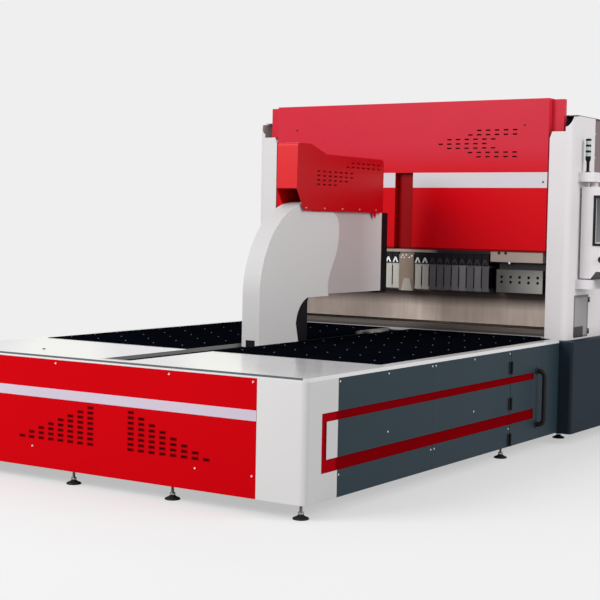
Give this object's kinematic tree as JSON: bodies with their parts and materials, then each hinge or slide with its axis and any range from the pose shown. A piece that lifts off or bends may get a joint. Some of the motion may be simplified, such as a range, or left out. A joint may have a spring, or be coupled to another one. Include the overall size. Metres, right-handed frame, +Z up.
{
  "type": "cnc sheet metal panel bender",
  "caption": "Sheet metal bending centre: low feed table with slot, C-shaped manipulator with rotary clamps, covered press with clamped tools, swinging console.",
  "frame": {"origin": "on the floor, at the middle of the whole machine's outline", "axes": "+Y from the table's front to the press, +X to the operator's console side, +Z up"},
  "size_m": [3.735, 5.2, 2.812],
  "materials": {
    "red_paint": "smooth satin powder coat",
    "white_paint": "smooth satin powder coat",
    "stripe_paint": "smooth satin powder coat",
    "grey_paint": "fine textured powder coat",
    "black_paint": "satin enamel",
    "handle_plastic": "fine grain",
    "brush_plastic": "matt bristle tiles",
    "tool_steel": "ground",
    "rail_steel": "ground",
    "rod_chrome": "polished",
    "cylinder_paint": "satin enamel",
    "foot_rubber": "moulded",
    "screen_plastic": "glossy",
    "button_plastic": "smooth",
    "light_plastic": "smooth",
    "lens_plastic": "frosted",
    "pump_paint": "satin enamel",
    "window_plastic": "smoked, clear"
  },
  "bodies": {
    "machine": {"table_frame": "grey_paint", "feed_rails": "rail_steel", "foot_pads": "foot_rubber", "foot_studs": "rail_steel", "front_panel": "red_paint", "front_stripe": "stripe_paint", "corner_panel_right": "white_paint", "corner_panel_left": "white_paint", "side_panel_right": "grey_paint", "side_panel_left": "grey_paint", "side_channel_right": "red_paint", "side_channel_left": "red_paint", "door_hinges_fixed": "black_paint", "top_plate": "white_paint", "brush_table_right": "brush_plastic", "brush_table_left": "brush_plastic", "side_frame_right": "grey_paint", "side_frame_left": "grey_paint", "column_base_right": "grey_paint", "column_base_left": "grey_paint", "column_cover_right_upper": "white_paint", "column_cover_right_lower": "white_paint", "column_cover_left": "white_paint", "rear_hood": "grey_paint", "lower_bed": "grey_paint", "lower_die": "tool_steel", "guide_rails": "rail_steel", "crosshead": "grey_paint", "servo_cylinders": "cylinder_paint", "press_cover": "red_paint", "press_stripes": "stripe_paint", "console_brackets": "white_paint", "stack_light_body": "light_plastic", "stack_light_lenses": "lens_plastic", "oil_pump": "pump_paint", "window_hinges": "black_paint"},
    "beam": {"upper_beam": "grey_paint", "cylinder_rods": "rod_chrome", "tool_clamps": "black_paint", "blank_holder_segments": "tool_steel", "centre_segment": "tool_steel", "end_blocks": "tool_steel"},
    "manipulator": {"c_frame": "black_paint", "arm_cover": "white_paint", "nose_cover": "white_paint", "ram_housing": "black_paint", "motor_cover": "red_paint"},
    "ram": {"clamp_ram": "rod_chrome"},
    "upper_clamp": {"upper_rotor": "tool_steel"},
    "lower_clamp": {"lower_rotor": "tool_steel"},
    "blade": {"blade_carrier": "tool_steel"},
    "door": {"side_door": "grey_paint", "door_channel": "red_paint", "door_hinges_moving": "black_paint", "door_handle": "handle_plastic"},
    "console": {"console_housing": "white_paint", "console_tray": "grey_paint", "console_screen": "screen_plastic"},
    "button": {"console_button": "button_plastic"},
    "window": {"window_door": "window_plastic"}
  },
  "joints": [
    {"name": "beam_slide", "type": "slide", "parent": "machine", "child": "beam", "axis": [0, 0, 1], "range_m": [-0.279, 0]},
    {"name": "feed_slide", "type": "slide", "parent": "machine", "child": "manipulator", "axis": [0, 1, 0], "range_m": [-1.45, 0.29]},
    {"name": "ram_slide", "type": "slide", "parent": "manipulator", "child": "ram", "axis": [0, 0, 1], "range_m": [-0.32, 0]},
    {"name": "lower_clamp_spin", "type": "hinge", "parent": "manipulator", "child": "lower_clamp", "pos_m": [-0.2175, 0.859, 0.8], "axis": [0, 0, 1], "continuous": true},
    {"name": "upper_clamp_spin", "type": "hinge", "parent": "ram", "child": "upper_clamp", "pos_m": [-0.2175, 0.859, 1.2], "axis": [0, 0, 1], "continuous": true},
    {"name": "blade_slide", "type": "slide", "parent": "machine", "child": "blade", "axis": [0, 0, 1], "range_m": [-0.04, 0.04]},
    {"name": "door_swing", "type": "hinge", "parent": "machine", "child": "door", "pos_m": [1.3255, 0.245, 0.46], "axis": [0, 0, -1], "range_deg": [0, 110]},
    {"name": "console_swing", "type": "hinge", "parent": "machine", "child": "console", "pos_m": [1.3945, 1.622, 1.5], "axis": [0, 0, 1], "range_deg": [0, 90]},
    {"name": "window_swing", "type": "hinge", "parent": "machine", "child": "window", "pos_m": [1.33, 1.752, 1.05], "axis": [0, 0, 1], "range_deg": [0, 100]},
    {"name": "button_press", "type": "slide", "parent": "console", "child": "button", "axis": [0, 1, 0], "range_m": [0, 0.006], "stiffness_N_per_m": 400}
  ],
  "couplings": [
    {"joint": "upper_clamp_spin", "follows": "lower_clamp_spin", "ratio": 1}
  ]
}
